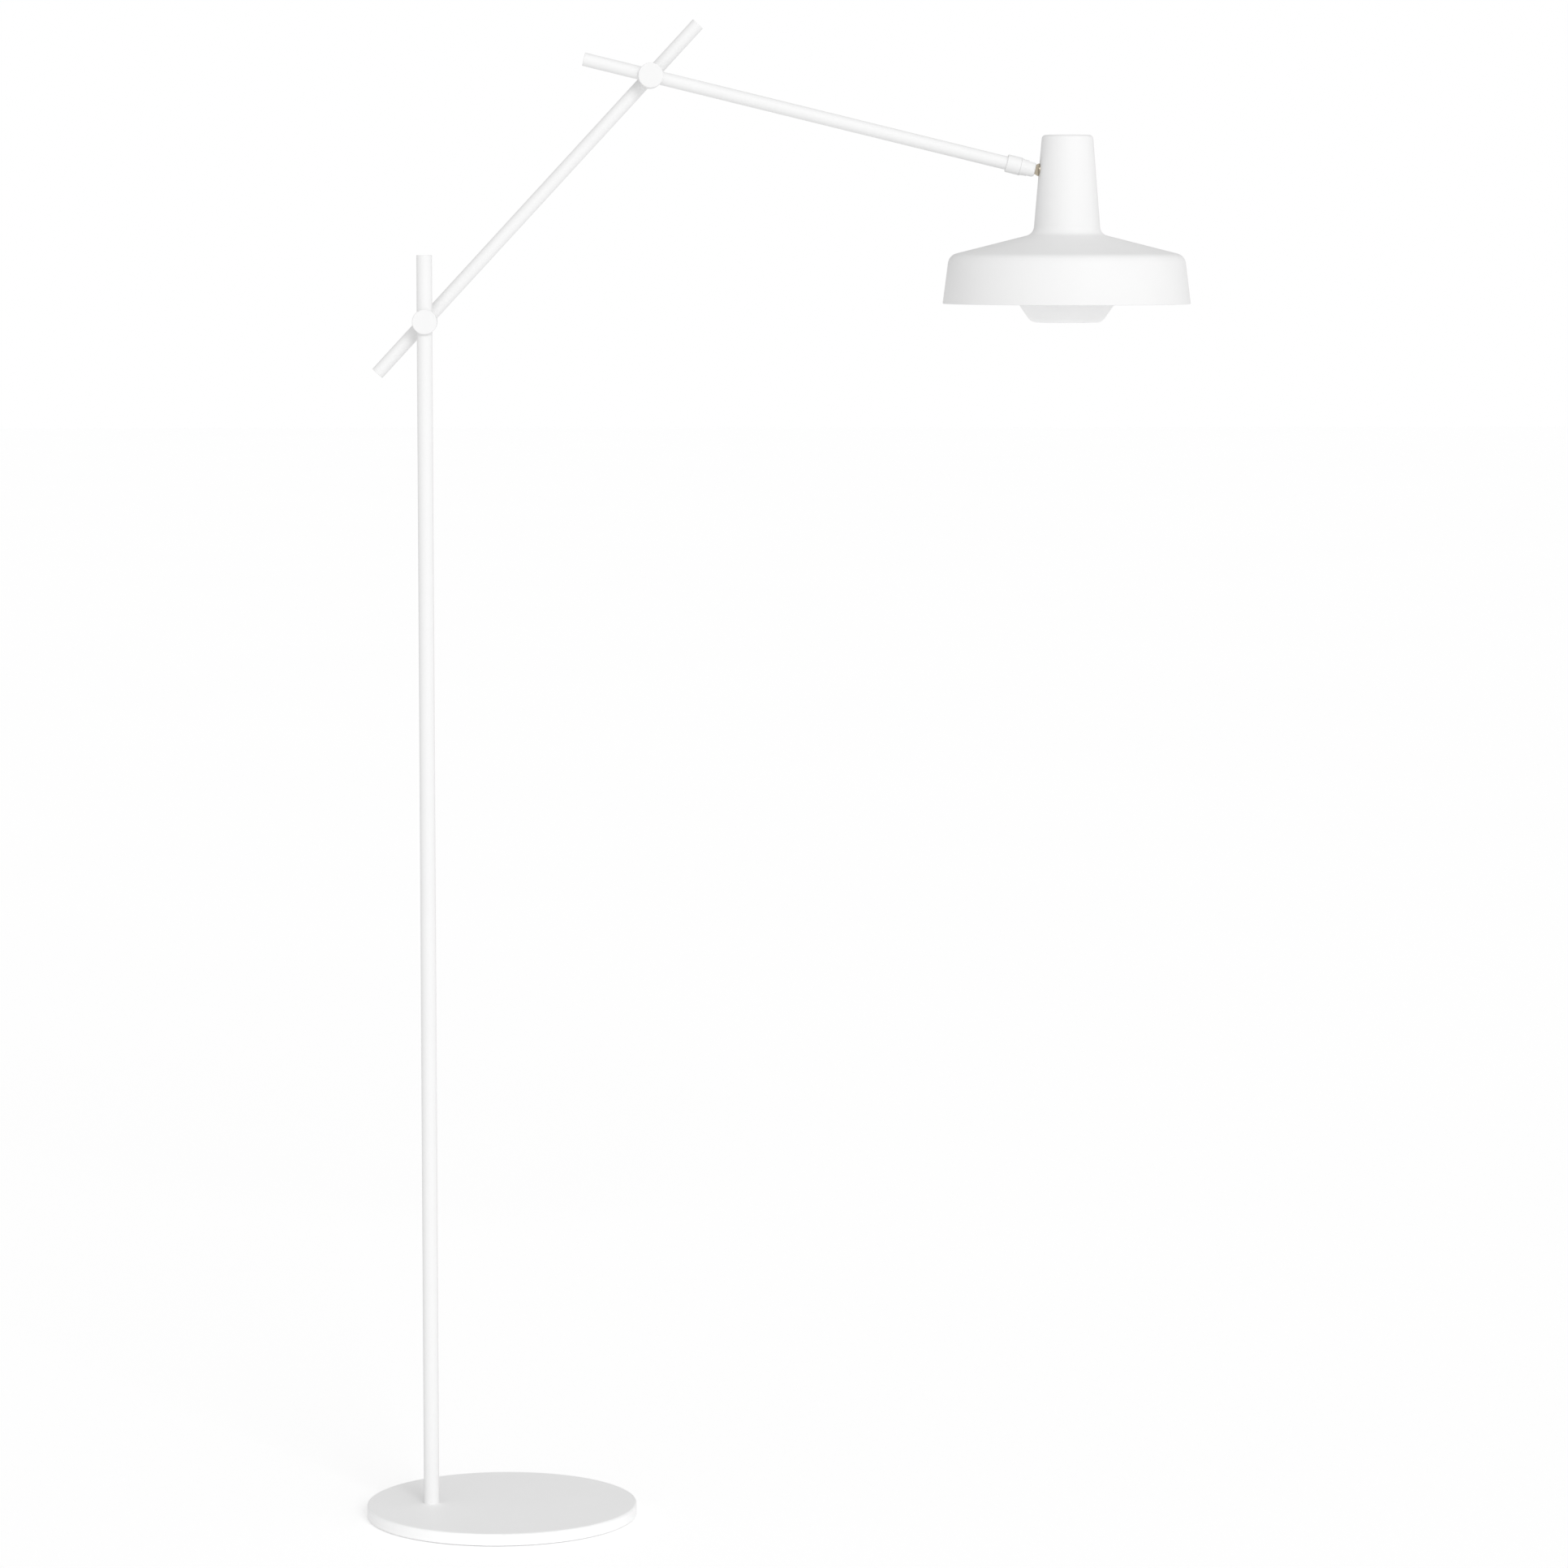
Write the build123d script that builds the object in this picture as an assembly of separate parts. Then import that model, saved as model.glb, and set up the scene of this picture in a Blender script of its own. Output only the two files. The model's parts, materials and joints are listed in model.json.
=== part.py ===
from build123d import *
import os
from math import cos, radians, sin, tan

# Adjustable arm floor lamp, in millimetres.
# Origin: centre of the base's underside. +Z up, +X from the pole towards the shade,
# and -Y is the front, where the flat faces of the two hinges show.

# ---------------------------------------------------------------- driving dimensions
BASE_DIAMETER = 265.0
BASE_TOP = 12.5            # height of the plate's top face above the floor
FELT_THICKNESS = 1.0
POLE_DIAMETER = 15.0
POLE_TOP = 1235.0
POLE_X = -69.3             # the pole stands off-centre, behind the lamp's reach
ARM_DIAMETER = 13.0
LOWER_HINGE_Z = 1171.0
LOWER_ARM_ANGLE = 47.25    # above the horizontal, at rest
LOWER_ARM_LENGTH = 321.0   # hinge to hinge
UPPER_ARM_ANGLE = -13.6
UPPER_ARM_REACH = 414.0    # hinge to the shade's axis, along the arm
STUB_LENGTH = 68.0         # tube beyond a hinge
UPPER_STUB_LENGTH = 66.0
HINGE_DIAMETER = 24.0
LOWER_ARM_Y = 17.5         # the lower arm lies behind the pole and the upper arm
PIVOT_SETBACK = 36.0       # tilt pivot to the shade's axis, along the arm
SHADE_RADIUS = 119.9
SHADE_HEIGHT = 162.4
RIM_BELOW_ARM_LINE = 121.05  # rim plane below the arm's line, at the shade's axis

# ---------------------------------------------------------------- walls and fits
POLE_WALL = 1.5
ARM_WALL = 1.0
SHADE_WALL = 1.2
SLIP = 0.03                # radial gap of a tube in its knuckle
RUN = 0.05                 # radial gap of a pin that turns
CAP_EDGE = 1.0             # rounded edge of the hinge caps
END_CAP = 1.0              # disc that closes a tube's end
PAST = 1.0                 # how far a cut runs beyond the face that it opens

# ---------------------------------------------------------------- hinge, along +Y
FRONT_FACE = -11.5
CAP_THICKNESS = 1.5
FRONT_END = 9.0            # back of a front knuckle
WASHER_THICKNESS = 0.5
REAR_START = FRONT_END + WASHER_THICKNESS
REAR_END = 28.5
BOLT_DIAMETER = 8.0
BOLT_BORE = 5.0
HEAD_DIAMETER = 14.0
HEAD_THICKNESS = 1.8
RECESS_RADIUS = 8.0
NUT_THICKNESS = 3.0
SPRING_THICKNESS = 0.8
NUT_RADIUS = 7.0           # across the corners, halved
NUT_PLAY = 0.3             # between the nut and the rear cap
LOWER_TRAVEL = (-60.0, 45.0)   # degrees from rest, clockwise as seen from the front
UPPER_TRAVEL = (-75.0, 45.0)
SPLIT_Y = FRONT_END + WASHER_THICKNESS / 2
WIRE_DIAMETER = 3.2
WIRE_BEND = 6.0

# ---------------------------------------------------------------- swivel and tilt fork
FORK_REACH = 3.4           # fork's end beyond the tilt pivot
FORK_LENGTH = 10.9         # straight part of the fork
CONE_LENGTH = 3.5
COLLAR_LENGTH = 13.7
COLLAR_RADIUS = 8.6
COLLAR_SOCKET = 8.5        # depth that the tube goes into the collar
COLLAR_WEB = 2.5
FORK_RADIUS = 7.7
SPIGOT_RADIUS = 4.0
FORK_END = UPPER_ARM_REACH - PIVOT_SETBACK + FORK_REACH
CONE_START = FORK_END - FORK_LENGTH - CONE_LENGTH
COLLAR_START = CONE_START - COLLAR_LENGTH
TONGUE_RADIUS = 4.9
TONGUE_HALF_WIDTH = 3.5
PIN_RADIUS = 1.75
TONGUE_WAIST = 4.5         # half its height where it is least
FLANGE_RADIUS = 6.1
FLANGE_THICKNESS = 0.6

# ---------------------------------------------------------------- shade
BAND_LEAN = 7.2            # degrees from the vertical
SHOULDER_SLOPE = 14.2      # degrees from the horizontal
NECK_LEAN = 4.73
SHOULDER_POINT = (69.1, 58.1)  # (radius, height above the rim) on the shoulder
NECK_POINT = (28.6, 114.3)
CORNER_RADIUS = 11.0
NECK_FILLET = 9.5
TOP_RADIUS = 4.0

# ---------------------------------------------------------------- light source and its fixing
STUD_RADIUS = 4.0
HOLDER_TOP = 147.0         # heights here are above the rim
HOLDER_BOTTOM = 103.0
HOLDER_RADIUS = 14.0
BRACKET_THICKNESS = 1.5
BRACKET_GAP = 1.0          # between the neck's curved wall and the flat bracket

# ---------------------------------------------------------------- diffuser
DIFFUSER_RADIUS = 48.0
DIFFUSER_WALL = 2.0
DIFFUSER_TOP = 51.0
DIFFUSER_BOTTOM = -18.0
DIFFUSER_SLOPE = 35.0      # of its lower side, from the vertical
DIFFUSER_SIDE = (45.3, -2.0)   # (radius, height above the rim) on the sloping side
DIFFUSER_BOTTOM_CORNER = 10.0
DIFFUSER_SIDE_CORNER = 12.0
BEAD_HEIGHT = 2.0          # thicker edge round the diffuser's open top
SCREW_Z = 47.5
SCREW_TURNS = (30, 150, 270)

# ---------------------------------------------------------------- places worked out
def heading(angle):
    """The unit direction at an angle above +X in the XZ plane."""
    return Vector(cos(radians(angle)), 0, sin(radians(angle)))


lower_dir = heading(LOWER_ARM_ANGLE)
upper_dir = heading(UPPER_ARM_ANGLE)
lower_hinge = Vector(POLE_X, 0, LOWER_HINGE_Z)
upper_hinge = lower_hinge + lower_dir * LOWER_ARM_LENGTH
pivot = upper_hinge + upper_dir * (UPPER_ARM_REACH - PIVOT_SETBACK)
shade_foot = upper_hinge + upper_dir * UPPER_ARM_REACH - Vector(0, 0, RIM_BELOW_ARM_LINE)

BOTTOM = (Align.CENTER, Align.CENTER, Align.MIN)
WHOLE = Align.CENTER


def write(shape, name):
    """Write one node's STEP file."""
    export_step(shape, f"parts/{name}.step")


def along(point, direction):
    """A plane whose local Z runs along a direction in the XZ plane, and local X along +Y."""
    return Plane(origin=point, x_dir=(0, 1, 0), z_dir=direction)


def hinge_plane(point, y):
    """A plane on a hinge's axis at depth y, with local Z along +Y and local X along +X."""
    return Plane(origin=(point.X, y, point.Z), x_dir=(1, 0, 0), z_dir=(0, 1, 0))


def rod(radius, length, bore=0.0):
    """A round bar from local Z = 0 upwards, hollow when a bore radius is given."""
    body = Cylinder(radius, length, align=BOTTOM)
    if bore:
        body -= Pos(0, 0, -PAST) * Cylinder(bore, length + 2 * PAST, align=BOTTOM)
    return body


def rounded_disc(radius, thickness, edge):
    """A disc from local Z = 0 upwards with its upper edge rounded."""
    disc = rod(radius, thickness)
    return fillet(disc.edges().sort_by(Axis.Z)[-1], edge)


def turned(points):
    """A solid of revolution about local Z from a closed outline of (r, z) points."""
    outline = Polyline([(r, 0, z) for r, z in points], close=True)
    return revolve(make_face(outline), Axis.Z)


def round_bar(points, radius):
    """A round wire along straight runs joined by tangent arcs."""
    path = FilletPolyline(*points, radius=WIRE_BEND) if len(points) > 2 else Line(*points)
    section = Plane(origin=path @ 0, z_dir=path % 0) * Circle(radius)
    return sweep(section, path=path)


# ---------------------------------------------------------------- base and pole
def base_parts():
    radius = BASE_DIAMETER / 2
    top_edge, bottom_edge, felt_inset = 2.0, 0.6, 4.0
    recess_radius, recess_depth, bolt_radius, bolt_hole = 16.0, 5.5, 5.0, 5.2
    foot = Pos(POLE_X, 0, 0)
    plate = Pos(0, 0, FELT_THICKNESS) * rounded_disc(radius, BASE_TOP - FELT_THICKNESS, top_edge)
    plate = chamfer(plate.edges().sort_by(Axis.Z)[0], bottom_edge)
    plate -= foot * rod(recess_radius, FELT_THICKNESS + recess_depth)
    plate -= foot * rod(bolt_hole, BASE_TOP + PAST)
    write(plate, "base_plate")

    felt = rod(radius - felt_inset, FELT_THICKNESS) - foot * rod(recess_radius, FELT_THICKNESS)
    write(felt, "base_felt")

    # Foot bolt and washer in the recess; the plug in the pole takes the bolt.
    washer_radius, washer_thickness = 12.0, 1.6
    head_radius, head_height, shank_length, plug_length = 8.5, 3.4, 24.0, 22.0
    head_top = FELT_THICKNESS + recess_depth - washer_thickness
    write(foot * Pos(0, 0, head_top) * rod(washer_radius, washer_thickness, bolt_hole),
          "foot_washer")
    head = extrude(RegularPolygon(head_radius, 6), head_height)
    shank = Pos(0, 0, head_height) * rod(bolt_radius, shank_length)
    write(foot * Pos(0, 0, head_top - head_height) * (head + shank), "foot_bolt")
    inner = POLE_DIAMETER / 2 - POLE_WALL
    write(foot * Pos(0, 0, BASE_TOP) * rod(inner - SLIP, plug_length, bolt_radius), "pole_plug")


def pole_parts():
    radius = POLE_DIAMETER / 2
    inner = radius - POLE_WALL
    inlet_z, inlet_radius, bush_bore, wire_start = 45.0, 4.0, 2.8, 80.0
    inlet = Plane(origin=(POLE_X, 0, inlet_z), z_dir=(0, 1, 0))
    bolt_hole = rod(BOLT_DIAMETER / 2 + 2 * RUN, POLE_DIAMETER + 2 * PAST)
    tube = Pos(POLE_X, 0, BASE_TOP) * rod(radius, POLE_TOP - END_CAP - BASE_TOP, inner)
    tube -= inlet * rod(inlet_radius, radius + PAST)
    tube -= hinge_plane(lower_hinge, -radius - PAST) * bolt_hole
    write(tube, "pole_tube")
    write(Pos(POLE_X, 0, POLE_TOP - END_CAP) * end_cap(radius, inner), "pole_cap")

    # Bush where the mains lead enters at the back: a barrel through the wall, with a collar.
    barrel_start, barrel_length = radius - 2.2, 4.2
    collar_radius, collar_face = 6.2, 9.0
    barrel = inlet * Pos(0, 0, barrel_start) * rod(inlet_radius - SLIP, barrel_length, bush_bore)
    collar = inlet * rod(collar_radius, collar_face, bush_bore)
    collar -= Pos(POLE_X, 0, 0) * rod(radius, 2 * inlet_z)
    write((barrel + collar).solids().sort_by(Axis.Y)[-1], "cord_inlet_bush")

    start = Vector(POLE_X, 0, wire_start)
    write(round_bar([start, lower_hinge, Vector(POLE_X, SPLIT_Y, LOWER_HINGE_Z)], WIRE_DIAMETER / 2),
          "pole_wire")


def end_cap(radius, inner):
    """A flat plug for a tube's end: a thin disc and a spigot down inside the tube."""
    edge, spigot_depth, spigot_wall = 0.5, 5.0, 1.5
    disc = rounded_disc(radius, END_CAP, edge)
    return disc + Pos(0, 0, -spigot_depth) * rod(inner - SLIP, spigot_depth, inner - spigot_wall)


# ---------------------------------------------------------------- hinges
def knuckle(point, start, end, tube_y, direction, tube_diameter, recess_at_start):
    """A short cylinder that a tube passes through, with a recess for the bolt's head or nut."""
    body = hinge_plane(point, start) * rod(HINGE_DIAMETER / 2, end - start)
    centre = Vector(point.X, tube_y, point.Z) - direction * HINGE_DIAMETER
    body -= along(centre, direction) * rod(tube_diameter / 2 + SLIP, 2 * HINGE_DIAMETER)
    body -= hinge_plane(point, start - PAST) * rod(BOLT_DIAMETER / 2 + RUN, end - start + 2 * PAST)
    depth = HEAD_THICKNESS if recess_at_start else NUT_THICKNESS + SPRING_THICKNESS + NUT_PLAY
    recess_y = start if recess_at_start else end - depth
    return body - hinge_plane(point, recess_y) * rod(RECESS_RADIUS, depth)


def hinge_cap(point, face_y, outward):
    """A flat disc that closes a knuckle, with a thin ring that snaps into the recess."""
    ring_depth, ring_wall = 1.2, 0.7
    disc = rounded_disc(HINGE_DIAMETER / 2, CAP_THICKNESS, CAP_EDGE)
    ring = rod(RECESS_RADIUS - SLIP, ring_depth, RECESS_RADIUS - ring_wall)
    plane = Plane(origin=(point.X, face_y, point.Z), x_dir=(1, 0, 0), z_dir=(0, outward, 0))
    return plane * (disc + Pos(0, 0, -ring_depth) * ring)


def window(point, y, length, direction, width, past_axis):
    """The space cut from a hollow bolt so that the wire can leave it towards a direction."""
    plane = along(Vector(point.X, y, point.Z) - direction * past_axis, direction)
    return plane * Box(length, width, BOLT_DIAMETER + past_axis, align=BOTTOM)


def hinge_bolt(point, fixed_y, fixed_dir, turning_y, turning_dir):
    """A hollow bolt: a slot where the wire enters, and half the wall gone where the wire swings."""
    head_y = FRONT_FACE + CAP_THICKNESS
    slot_depth, slot_width, end_play = 0.8, 1.4, 0.4
    fixed_window, turning_window, turning_past = 10.5, 10.0, 0.8
    shank_length = REAR_END - head_y - HEAD_THICKNESS - end_play
    bolt = hinge_plane(point, head_y) * rod(HEAD_DIAMETER / 2, HEAD_THICKNESS)
    bolt += hinge_plane(point, head_y + HEAD_THICKNESS) * rod(BOLT_DIAMETER / 2, shank_length)
    bolt -= hinge_plane(point, head_y - PAST) * rod(BOLT_BORE / 2, REAR_END - head_y + 2 * PAST)
    bolt -= Pos(point.X, head_y, point.Z) * Box(HEAD_DIAMETER + PAST, 2 * slot_depth, slot_width)
    bolt -= window(point, fixed_y, fixed_window, fixed_dir, BOLT_BORE, 0.0)
    bolt -= window(point, turning_y, turning_window, turning_dir, BOLT_DIAMETER + PAST, turning_past)
    return bolt


def hinge_hardware(name, point):
    """The friction washer, the wave spring washer and the nut of one hinge."""
    friction_radius, spring_radius = 11.0, 7.0
    disc = rod(friction_radius, WASHER_THICKNESS, BOLT_DIAMETER / 2 + RUN)
    write(hinge_plane(point, FRONT_END) * disc, f"{name}_friction_washer")
    seat = REAR_END - NUT_THICKNESS - SPRING_THICKNESS - NUT_PLAY
    spring = rod(spring_radius, SPRING_THICKNESS, BOLT_DIAMETER / 2 + RUN)
    write(hinge_plane(point, seat) * spring, f"{name}_spring_washer")
    nut = extrude(RegularPolygon(NUT_RADIUS, 6), NUT_THICKNESS)
    nut -= rod(BOLT_DIAMETER / 2, NUT_THICKNESS)
    write(hinge_plane(point, seat + SPRING_THICKNESS) * nut, f"{name}_hinge_nut")


def hinge_parts():
    down, back = Vector(0, 0, -1), lower_dir * -1
    swing_lower = heading(LOWER_ARM_ANGLE - sum(LOWER_TRAVEL) / 2)
    swing_upper = heading(UPPER_ARM_ANGLE - sum(UPPER_TRAVEL) / 2)
    front, rear = FRONT_FACE + CAP_THICKNESS, REAR_START
    up = Vector(0, 0, 1)

    write(knuckle(lower_hinge, front, FRONT_END, 0, up, POLE_DIAMETER, True), "lower_front_knuckle")
    write(knuckle(lower_hinge, rear, REAR_END, LOWER_ARM_Y, lower_dir, ARM_DIAMETER, False),
          "lower_rear_knuckle")
    write(knuckle(upper_hinge, front, FRONT_END, 0, upper_dir, ARM_DIAMETER, True),
          "upper_front_knuckle")
    write(knuckle(upper_hinge, rear, REAR_END, LOWER_ARM_Y, lower_dir, ARM_DIAMETER, False),
          "upper_rear_knuckle")
    write(hinge_bolt(lower_hinge, 0, down, LOWER_ARM_Y, swing_lower), "lower_hinge_bolt")
    write(hinge_bolt(upper_hinge, LOWER_ARM_Y, back, 0, swing_upper), "upper_hinge_bolt")
    for name, point in (("lower", lower_hinge), ("upper", upper_hinge)):
        write(hinge_cap(point, front, -1), f"{name}_front_cap")
        write(hinge_cap(point, REAR_END, 1), f"{name}_rear_cap")
        hinge_hardware(name, point)


# ---------------------------------------------------------------- arms
def arm_tube(start, direction, length, hinges, y):
    """A plain tube with a cross hole at each hinge."""
    radius = ARM_DIAMETER / 2
    bolt_hole = rod(BOLT_DIAMETER / 2 + 0.5, ARM_DIAMETER + 2 * PAST)
    tube = along(start, direction) * rod(radius, length, radius - ARM_WALL)
    for hinge in hinges:
        tube -= hinge_plane(hinge, y - radius - PAST) * bolt_hole
    return tube


def arm_parts():
    radius = ARM_DIAMETER / 2
    inner = radius - ARM_WALL
    behind = Vector(0, LOWER_ARM_Y, 0)
    low_end = lower_hinge + behind - lower_dir * (STUB_LENGTH - END_CAP)
    high_end = upper_hinge + behind + lower_dir * (STUB_LENGTH - END_CAP)
    length = LOWER_ARM_LENGTH + 2 * (STUB_LENGTH - END_CAP)
    write(arm_tube(low_end, lower_dir, length, (lower_hinge, upper_hinge), LOWER_ARM_Y),
          "lower_arm_tube")
    cap = end_cap(radius, inner)
    write(along(low_end, lower_dir * -1) * cap, "lower_arm_bottom_cap")
    write(along(high_end, lower_dir) * cap, "lower_arm_top_cap")
    wire_radius = WIRE_DIAMETER / 2
    split = Vector(0, SPLIT_Y, 0)
    write(round_bar([lower_hinge + split, lower_hinge + behind, upper_hinge + behind,
                     upper_hinge + split], wire_radius), "lower_arm_wire")

    start = upper_hinge - upper_dir * (UPPER_STUB_LENGTH - END_CAP)
    tube_end = COLLAR_START + COLLAR_SOCKET
    write(arm_tube(start, upper_dir, UPPER_STUB_LENGTH - END_CAP + tube_end, (upper_hinge,), 0),
          "upper_arm_tube")
    write(along(start, upper_dir * -1) * cap, "upper_arm_cap")
    wire_end = upper_hinge + upper_dir * CONE_START
    write(round_bar([upper_hinge + split, upper_hinge, wire_end], wire_radius), "upper_arm_wire")


# ---------------------------------------------------------------- swivel at the arm's end
def swivel_parts():
    arm = along(upper_hinge, upper_dir)
    gap, collar_edge, friction_radius, nose_edge = 0.15, 0.5, 6.5, 1.7
    # Collar fixed on the tube, with a web that the fork's spigot turns in.
    tube_radius = ARM_DIAMETER / 2
    collar = rod(COLLAR_RADIUS, COLLAR_LENGTH - gap)
    collar = chamfer(collar.edges().sort_by(Axis.Z)[0], collar_edge)
    collar -= rod(tube_radius + SLIP, COLLAR_SOCKET)
    collar -= rod(SPIGOT_RADIUS + RUN, COLLAR_LENGTH)
    ring_start = COLLAR_SOCKET + COLLAR_WEB
    collar -= Pos(0, 0, ring_start) * rod(friction_radius, COLLAR_LENGTH)
    write(arm * Pos(0, 0, COLLAR_START) * collar, "arm_collar")
    ring = rod(friction_radius - SLIP, COLLAR_LENGTH - gap - ring_start, SPIGOT_RADIUS + RUN)
    write(arm * Pos(0, 0, COLLAR_START + ring_start) * ring, "swivel_friction_ring")

    # Fork: cone, straight nose with a rounded end, slot for the tongue, hollow spigot.
    nose_length = CONE_LENGTH + FORK_LENGTH
    nose = turned([(0, 0), (COLLAR_RADIUS, 0), (FORK_RADIUS, CONE_LENGTH),
                   (FORK_RADIUS, nose_length), (0, nose_length)])
    nose = fillet(nose.edges().sort_by(Axis.Z)[-1], nose_edge)
    pivot_z = nose_length - FORK_REACH
    slot_back, slot_width, slot_flank = TONGUE_RADIUS + 0.5, 2 * TONGUE_HALF_WIDTH + 0.2, 3.6
    slot = Box(slot_width, 4 * FORK_RADIUS, nose_length, align=(WHOLE, WHOLE, Align.MIN))
    slot += Rot(0, 90, 0) * Cylinder(slot_back, slot_width)
    slot += Box(slot_width, 4 * FORK_RADIUS, 2 * slot_flank)
    nose -= Pos(0, 0, pivot_z) * slot
    spigot_length = COLLAR_LENGTH - COLLAR_SOCKET + NUT_THICKNESS
    fork = nose + Pos(0, 0, -spigot_length) * rod(SPIGOT_RADIUS, spigot_length)
    fork -= Pos(0, 0, -spigot_length - PAST) * rod(BOLT_BORE / 2, spigot_length + nose_length)
    fork -= Pos(0, 0, pivot_z) * (Rot(0, 90, 0) * Cylinder(PIN_RADIUS, 4 * FORK_RADIUS))
    write(arm * Pos(0, 0, CONE_START) * fork, "swivel_fork")
    nut_clear, nut_play = 0.4, 0.1
    nut = rod(tube_radius - ARM_WALL - nut_clear, NUT_THICKNESS - nut_play, SPIGOT_RADIUS)
    write(arm * Pos(0, 0, COLLAR_START + COLLAR_SOCKET - NUT_THICKNESS) * nut, "swivel_nut")

    # Two short pins, one in each cheek, leave the middle free for the wire.
    pin_inner, pin_outer = 2.6, 7.5
    pin = rod(PIN_RADIUS, pin_outer - pin_inner)
    pins = [Plane(origin=pivot + Vector(0, side * pin_inner, 0), z_dir=(0, side, 0)) * pin
            for side in (-1, 1)]
    write(Compound(children=pins), "tilt_pins")

    write(arm * Pos(0, 0, CONE_START) * rod(WIRE_DIAMETER / 2, pivot_z - slot_back), "swivel_wire")


# ---------------------------------------------------------------- shade
def meet(p, a, q, b):
    """Where the line through p at angle a meets the line through q at angle b."""
    across = cos(a) * sin(b) - sin(a) * cos(b)
    step = ((q[0] - p[0]) * sin(b) - (q[1] - p[1]) * cos(b)) / across
    return (p[0] + step * cos(a), p[1] + step * sin(a))


def shade_profile(inset, below):
    """The shade's outline moved inwards by a wall, as a solid face from the axis outwards."""
    lines = [((SHADE_RADIUS, 0), 90 + BAND_LEAN),
             (SHOULDER_POINT, 180 - SHOULDER_SLOPE),
             (NECK_POINT, 90 + NECK_LEAN),
             ((0, SHADE_HEIGHT), 180)]
    moved = []
    for (r, z), angle in lines:
        a = radians(angle)
        moved.append(((r - inset * sin(a), z + inset * cos(a)), a))
    corners = [meet(*first, *second) for first, second in zip(moved, moved[1:])]
    rim = meet(*moved[0], (0, -below), 0.0)
    points = [rim, *corners, (0, SHADE_HEIGHT - inset)]
    radii = [CORNER_RADIUS - inset, NECK_FILLET + inset, TOP_RADIUS - inset]
    side = FilletPolyline(*[(r, 0, z) for r, z in points], radius=radii)
    closing = Polyline((0, 0, points[-1][1]), (0, 0, -below), (rim[0], 0, -below))
    return revolve(make_face(side + closing), Axis.Z)


def neck_radius(z):
    """Outer radius of the neck at a height above the rim."""
    return NECK_POINT[0] + (NECK_POINT[1] - z) * tan(radians(NECK_LEAN))


# The tongue's stud is square to the neck's wall and passes through the tilt pivot.
stud_dir = Vector(cos(radians(NECK_LEAN)), 0, -sin(radians(NECK_LEAN)))
pivot_height = pivot.Z - shade_foot.Z
WALL_OFFSET = (shade_foot.X - pivot.X - neck_radius(pivot_height)) * cos(radians(NECK_LEAN))


def knuckle_and_shade():
    foot = Pos(*shade_foot)
    stud = along(pivot, stud_dir)
    stud_hole = STUD_RADIUS + 0.1
    outer = foot * shade_profile(0.0, 0.0)
    shade = outer - foot * shade_profile(SHADE_WALL, PAST)
    shade -= stud * rod(stud_hole, WALL_OFFSET + 5 * SHADE_WALL)
    write(shade, "shade")

    # Tongue: a barrel across the fork's slot, a waist that flares to the neck, and a thin
    # round flange shaped to the neck's wall.
    barrel = Rot(0, 90, 0) * Cylinder(TONGUE_RADIUS, 2 * TONGUE_HALF_WIDTH)
    flange_start = WALL_OFFSET - FLANGE_THICKNESS
    flare_start = TONGUE_RADIUS - 0.7
    outline = Polyline((0, 0), (TONGUE_WAIST, 0), (TONGUE_WAIST, flare_start),
                       (FLANGE_RADIUS, flange_start), (0, flange_start), close=True)
    half = extrude(Plane.YZ * make_face(outline), TONGUE_HALF_WIDTH, both=True)
    tongue = barrel + half + mirror(half, Plane.XZ)
    tongue += Pos(0, 0, flange_start) * rod(FLANGE_RADIUS, FLANGE_THICKNESS + SHADE_WALL)
    body = stud * tongue - outer
    body = body.solids().sort_by(Axis.X)[0]
    inner_face = WALL_OFFSET + SHADE_WALL + BRACKET_GAP
    stud_end = inner_face + BRACKET_THICKNESS + NUT_THICKNESS + 1.0
    body += stud * Pos(0, 0, flange_start) * rod(STUD_RADIUS, stud_end - flange_start)
    body -= stud * Pos(0, 0, -2 * TONGUE_RADIUS) * rod(BOLT_BORE / 2, stud_end + 4 * TONGUE_RADIUS)
    body -= stud * (Rot(0, 90, 0) * Cylinder(PIN_RADIUS + RUN, 4 * TONGUE_HALF_WIDTH))
    write(body, "tilt_knuckle")

    nut = extrude(RegularPolygon(NUT_RADIUS, 6), NUT_THICKNESS) - rod(STUD_RADIUS, NUT_THICKNESS)
    write(stud * Pos(0, 0, inner_face + BRACKET_THICKNESS) * nut, "knuckle_nut")

    # Bracket: one leg under the nut, and one across the neck that the holder hangs from.
    leg_width, below_stud, past_holder, nipple_hole = 12.0, 9.0, 12.0, 5.1
    top = HOLDER_TOP + BRACKET_THICKNESS
    rise = top - pivot_height + 2 * BRACKET_THICKNESS
    leg = Box(leg_width, below_stud + rise, BRACKET_THICKNESS, align=(WHOLE, Align.MIN, Align.MIN))
    leg = stud * Pos(0, -below_stud, inner_face) * leg
    leg -= foot * Pos(0, 0, top) * rod(SHADE_RADIUS, SHADE_HEIGHT)
    leg_x = -neck_radius(HOLDER_TOP) + SHADE_WALL + BRACKET_GAP + 0.1
    shelf = Box(past_holder - leg_x, leg_width, BRACKET_THICKNESS,
                align=(Align.MIN, WHOLE, Align.MIN))
    bracket = leg + foot * Pos(leg_x, 0, HOLDER_TOP) * shelf
    bracket -= foot * Pos(0, 0, HOLDER_TOP - PAST) * rod(nipple_hole, BRACKET_THICKNESS + 2 * PAST)
    bracket -= stud * rod(stud_hole, 2 * stud_end)
    write(bracket, "holder_bracket")

    wire = stud * Pos(0, 0, 1 - TONGUE_RADIUS) * rod(WIRE_DIAMETER / 2, pivot_height)
    wire -= foot * Pos(0, 0, HOLDER_BOTTOM) * rod(HOLDER_RADIUS, HOLDER_BOTTOM)
    write(wire.solids().sort_by(Axis.X)[0], "head_wire")


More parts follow.
